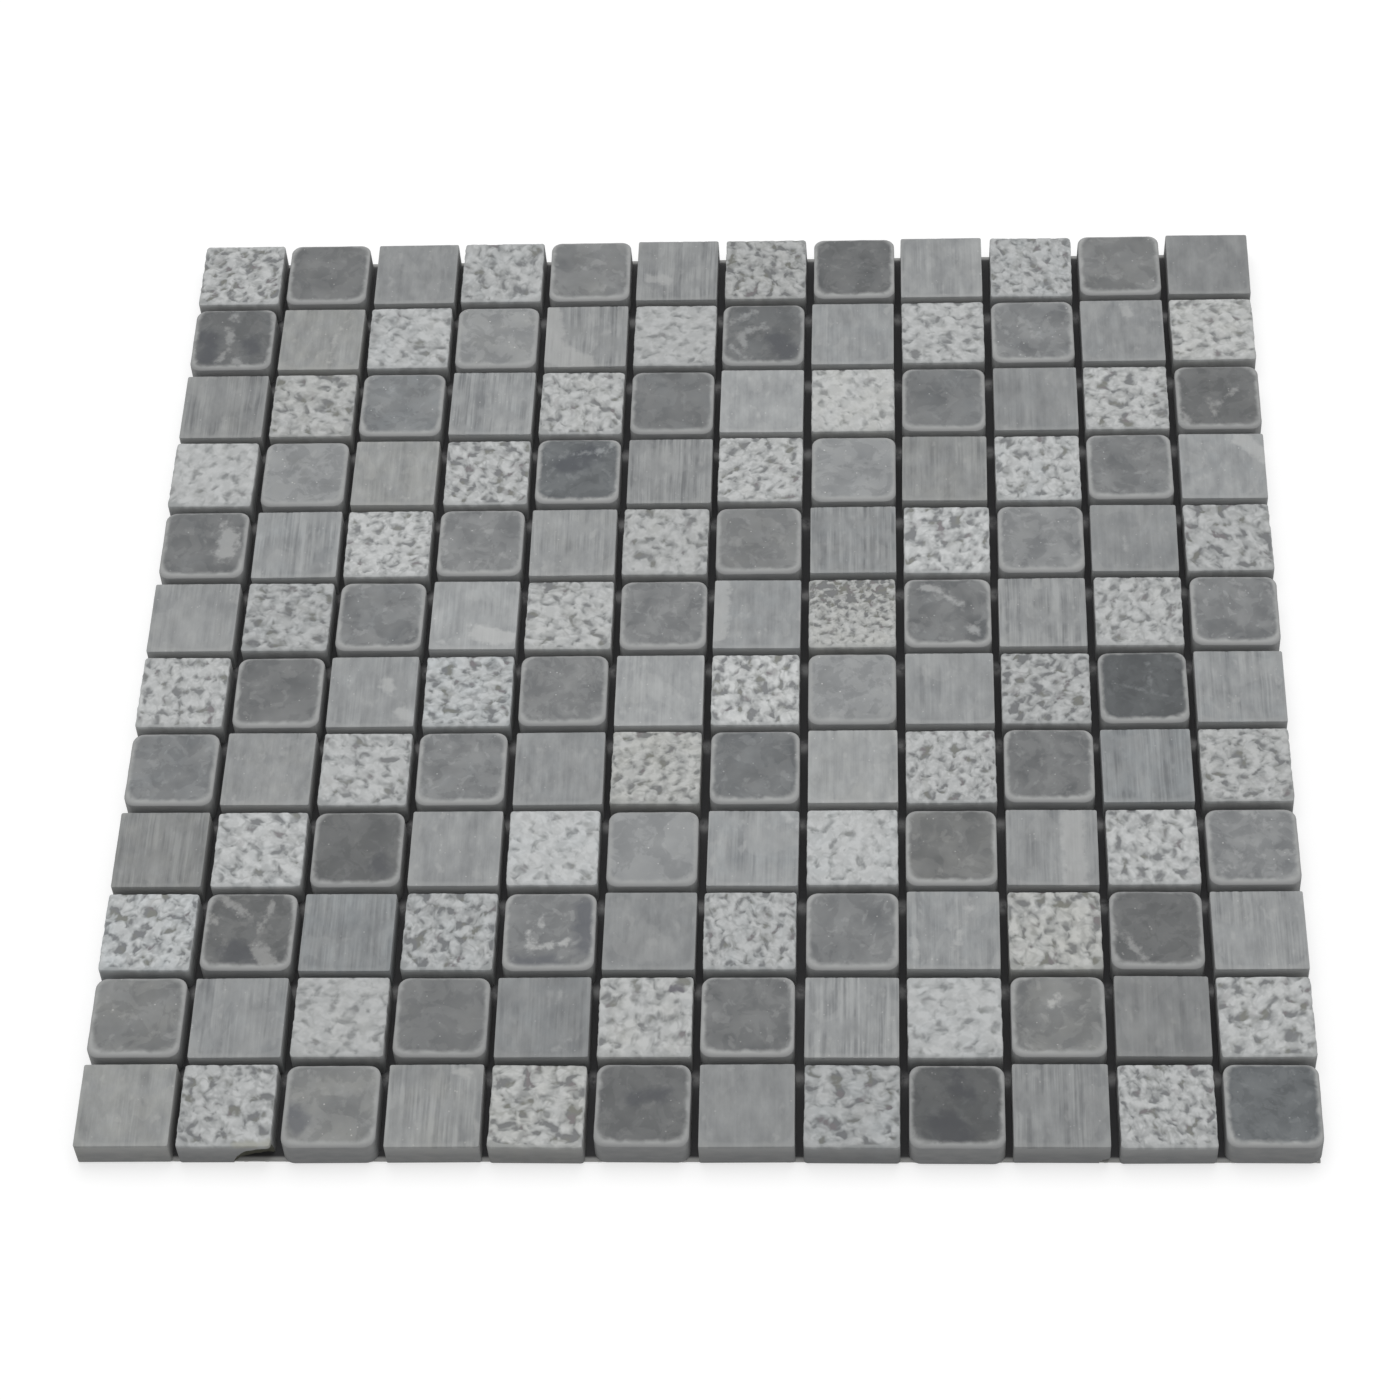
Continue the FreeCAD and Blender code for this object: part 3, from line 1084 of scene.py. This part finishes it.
# %% [markdown]
# ## The tumbled stone
# Tumbled among others in a drum, a chip turns dark and smooth, with cloudy patches and a pale,
# rubbed rim where the stones knocked. A mask from the shape alone would be as even as a printed
# line. So the rim follows the gap to the edge, made ragged by noise. The pale rim is painted wider
# at the front as painted highlight, and its outermost part darker as painted shade.

# %% Mix the tumbled stone
WORN_DARK = (0.098, 0.103, 0.107, 1)
WORN_LIGHT = (0.205, 0.211, 0.212, 1)
STAIN = (0.075, 0.08, 0.092, 1)


def cloudy_face(recipe, rag):
    """Dark stone with soft clouds, sharper patches and a little milk."""
    cloud = recipe.noise(recipe.slab(), 9.0, detail=3.0, roughness=0.5, distortion=0.2) - 0.5
    sharp = recipe.noise(elsewhere(recipe, 23, 71), 6.0, detail=4.0, roughness=0.6, distortion=0.5)
    patches = recipe.ramp(sharp, 0.45, 0.53) * 0.3
    contrast = recipe.trait("marks") * 1.3 + 0.6
    face = recipe.blend(0.38 + cloud * contrast + patches, WORN_DARK, WORN_LIGHT)
    milk = recipe.ramp(rag, 0.08, 0.15) * recipe.trait("marks")
    return recipe.blend(milk * 0.16, face, VEIN)


def tumbled_finish():
    recipe = Finish("tumbled_stone")
    place = recipe.place()
    rag = recipe.noise(elsewhere(recipe, 3, 50), 3.6, detail=3.5, distortion=0.5) - 0.5
    face = cloudy_face(recipe, rag)
    stain = 1 - recipe.ramp(recipe.trait("stain_gap") + rag * 7.0, -1.6, 2.2)
    face = recipe.blend(stain * 0.8, face, STAIN)
    face = recipe.blend(veins(recipe, 6.0, 0.95) * 0.7, face, VEIN)
    face = recipe.blend(white_flecks(recipe, place, 0.42), face, WHITE_FLECK)
    # The pale rim is rubbed wear with painted highlight, as it lies wider at the front.
    rim = 1 - recipe.ramp(recipe.trait("rim_gap") + rag * 2.2, 0.1, 1.75)
    # Its outermost part, most at the front, is painted darker: painted shade.
    rubbed_rim_and_edge_shade = recipe.blend(recipe.ramp(recipe.trait("rim_gap"), -0.8, 0.9), SAWN_PALE, RUBBED_AND_LIT)
    face = recipe.blend(rim * (0.72 + 0.28 * recipe.trait("marks")), tinted(recipe, face), rubbed_rim_and_edge_shade)
    # Painted highlight: the sides are painted paler near the upright corners, and a little paler towards
    # the top as painted light.
    corner = recipe.ramp(recipe.trait("corner"), 8.6, 11.2) * arris_share(recipe, place)
    side = sawn_face(recipe, place, recipe.larger(upper_sides_light(recipe, place) * 0.2, corner * 0.6))
    # Painted shade: below 7.85 mm the rim's outer part takes the sides' darker colour.
    stone = recipe.blend(1 - recipe.ramp(recipe.height(place), 7.4, 7.85), face, side)
    return recipe.close(stone, 0.62 + 0.2 * rim, fine_grain(recipe, place), 0.02)


finishes["tumbled"] = tumbled_finish()
print("mixed:", finishes["tumbled"].name)

# %% [markdown]
# ## The brushed stone
# A steel brush on a sawn face opens its soft parts in long grooves, and leaves a middle grey with
# pale beds and ragged patches. Streaks could be painted. Here the slab's noise is drawn out along
# the brush's way instead, and the grooves are those that were carved.

# %% Mix the brushed stone
GROOVE_DARK = (0.168, 0.175, 0.180, 1)
GROOVE_LIGHT = (0.315, 0.324, 0.325, 1)
PATCH = (0.385, 0.39, 0.385, 1)


def grooved_face(recipe, cloud):
    """Long grooves in clouded stone, with broad pale beds and a few ragged patches."""
    face = recipe.blend(0.55 + cloud * 1.7 + brush_grooves(recipe) * 2.6, GROOVE_DARK, GROOVE_LIGHT)
    broad = recipe.stretched(recipe.slab(), (1, 1.5, 1), (44, 12, 0))
    beds = recipe.noise(broad, 11.0, detail=3.0, distortion=0.5)
    face = recipe.blend(recipe.ramp(beds, 0.54, 0.57) * 0.16, face, PATCH)
    ragged = recipe.ruffled(elsewhere(recipe, 3, 30), 2.0, 1.0)
    patches = recipe.ramp(recipe.noise(recipe.stretched(ragged, (1, 1.8, 1)), 3.0), 0.60, 0.74)
    return recipe.blend(patches * 0.35, face, PATCH)


def brushed_finish():
    recipe = Finish("brushed_stone")
    place = recipe.place()
    bedding = recipe.stretched(recipe.slab(), (1, 2.2, 1), (40, 9, 0))
    cloud = recipe.noise(bedding, 4.0, detail=4.0, roughness=0.55) - 0.5
    face = grooved_face(recipe, cloud)
    face = recipe.blend(veins(recipe, 4.5, 0.8) * 0.55, face, VEIN)
    face = recipe.blend(white_flecks(recipe, place, 0.35), face, WHITE_FLECK)
    # Painted highlight, with some rubbed wear: a paler band along the top's edge, wider at the front.
    arris = 1 - recipe.ramp(recipe.trait("rim_gap") + cloud * 1.5, -0.2, 0.8)
    face = recipe.blend(arris * 0.3, face, RUBBED_AND_LIT)
    stone = tinted(recipe, with_sides(recipe, place, face))
    return recipe.close(stone, 0.72, fine_grain(recipe, place), 0.03)


finishes["brushed"] = brushed_finish()
print("mixed:", finishes["brushed"].name)

# %% [markdown]
# ## Net and adhesive
# A thin grey coat of adhesive closes the joints from below, over a net of pale glass fibre. At the
# sheet's edge the glue ends. Where joints cross, more light reaches the glue, so it is painted
# paler there: painted light. The imported shapes are right as they are. So they only get their
# materials, and masks show the painted light and where the glue ends.

# %% Finish the net and the adhesive
GLUE = (0.022, 0.022, 0.024, 1)
# Painted light: the glue's colour where the joints cross.
GLUE_LIT_AT_CROSSINGS = (0.175, 0.175, 0.175, 1)
FIBRE = (0.62, 0.62, 0.60, 1)
FIBRE_SHADE = (0.42, 0.42, 0.41, 1)
CROSSING_SHIFT = (0, 0.03, 0)
CELL_MIDDLE = (0.5, 0.5, 0.0)
GLUE_END = 147.0
NET_END = 148.0


def lit_crossings(recipe, place):
    """1 where the joints cross, where more light reaches the glue: painted light."""
    cell = recipe.vector("FRACTION", recipe.stretched(place, [PITCH] * 3, CROSSING_SHIFT))
    middle = recipe.vector("ABSOLUTE", recipe.vector("SUBTRACT", cell, CELL_MIDDLE))
    away = recipe.vector("SUBTRACT", CELL_MIDDLE, middle)
    flat = recipe.vector("MULTIPLY", away, (1, 1, 0))
    reach = recipe.node("ShaderNodeVectorMath", {"operation": "LENGTH"}, {0: flat}, output="Value")
    return 1 - recipe.ramp(reach * (PITCH / MM), 0.3, 3.0)


def outer_edge(recipe, place):
    """1 along the edge of the net, where the glue ends and the pale net shows."""
    away = recipe.vector("ABSOLUTE", place)
    farthest = recipe.larger(recipe.axis(away, 0), recipe.axis(away, 1))
    return recipe.ramp(farthest * (1 / MM), GLUE_END, NET_END)


def glue_finish():
    recipe = Finish("adhesive_coat")
    place = recipe.place()
    smear = recipe.noise(place, 3 * MM, detail=4.0, roughness=0.6)
    # Painted light: the glue is painted paler where the joints cross.
    crossing_light = lit_crossings(recipe, place) * recipe.ramp(smear, 0.25, 0.6)
    colour = recipe.blend(crossing_light, GLUE, GLUE_LIT_AT_CROSSINGS)
    colour = recipe.blend(outer_edge(recipe, place) * 0.8, colour, FIBRE_SHADE)
    return recipe.close(colour, 0.65, smear, 0.15)


def fibre_finish(name, stretch):
    recipe = Finish(name)
    strands = recipe.noise(recipe.stretched(recipe.place(), stretch), 0.12 * MM, detail=2.0)
    colour = recipe.blend(recipe.ramp(strands, 0.35, 0.65), FIBRE_SHADE, FIBRE)
    return recipe.close(colour, 0.55, strands, 0.03)


def repaint(node, material):
    """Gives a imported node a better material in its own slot."""
    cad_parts[node].material_slots[0].material = material


repaint("adhesive_coat", glue_finish())
repaint("mesh_warp_threads", fibre_finish("warp_fibre", (1, 30, 1)))
repaint("mesh_weft_threads", fibre_finish("weft_fibre", (30, 1, 1)))
print("the net and its glue have their finishes")

# %% [markdown]
# ## From plain chips to finished ones
# The plain chips are still there, under the finished ones. Hidden, they would still be in the sheet
# a second time. So each row of stones gets its stone's material and joins the sheet, and the row's
# plain node is hidden.

# %% Hand each row of stones to the sheet
for (finish, row), piece in rows.items():
    piece.data.materials.clear()
    piece.data.materials.append(finishes[finish])
    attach(piece, "root")
    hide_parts(f"{finish}_chips_row_{row:02d}")
print(len(rows), "rows of stones replace their nodes")
